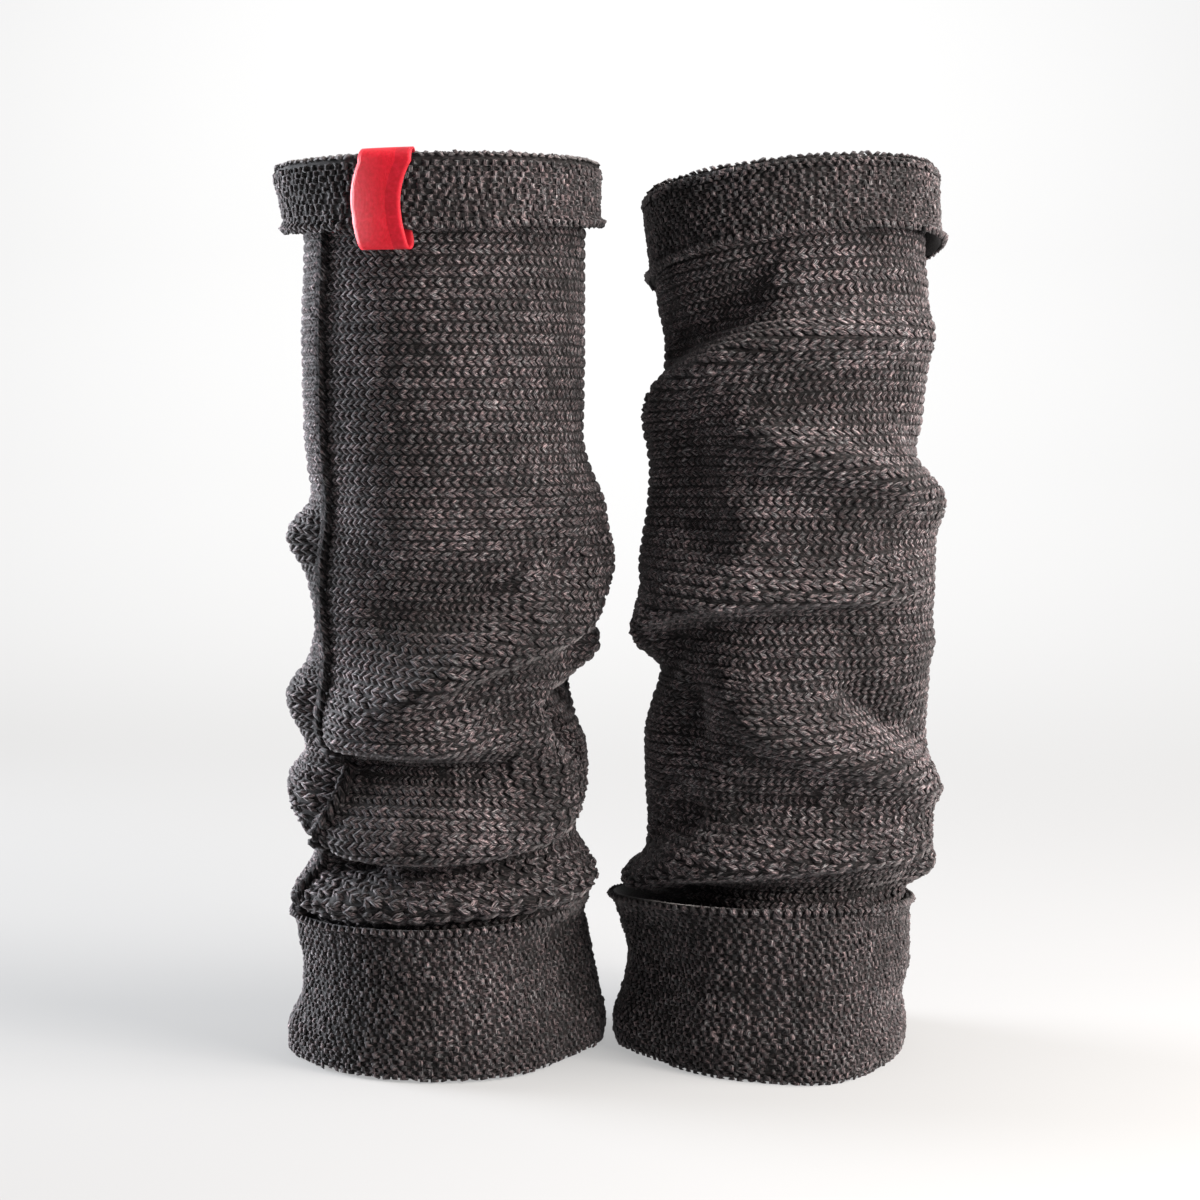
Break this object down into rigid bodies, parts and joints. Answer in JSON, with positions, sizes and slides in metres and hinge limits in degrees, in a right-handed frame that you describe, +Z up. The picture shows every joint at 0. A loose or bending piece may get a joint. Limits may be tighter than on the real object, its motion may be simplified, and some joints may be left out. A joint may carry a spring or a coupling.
{
  "type": "pair of leg warmers",
  "caption": "Pair of hollow knitted tubes standing slouched, with turned-down top cuffs, soft horizontal folds and wide turned-up bottom cuffs; a ribbon loop hangs over one rim.",
  "frame": {"origin": "middle of the pair's bounding box, on the floor that both stand on", "axes": "+X to the viewer's right, from the left leg warmer to the right one; +Y to the back; +Z up along both tubes"},
  "size_m": [0.222, 0.12, 0.2961],
  "materials": {
    "left_knit": "charcoal heather wool-blend knit, matt and fuzzy",
    "left_seam_chain": "the same yarn, as a chained seam",
    "left_ribbon": "woven red ribbon, slight satin sheen",
    "right_knit": "charcoal heather wool-blend knit, matt and fuzzy",
    "right_seam_chain": "the same yarn, as a chained seam"
  },
  "bodies": {
    "root": {"left_leg_warmer": "left_knit", "left_seam": "left_seam_chain", "left_label": "left_ribbon", "right_leg_warmer": "right_knit", "right_seam": "right_seam_chain"}
  },
  "joints": []
}
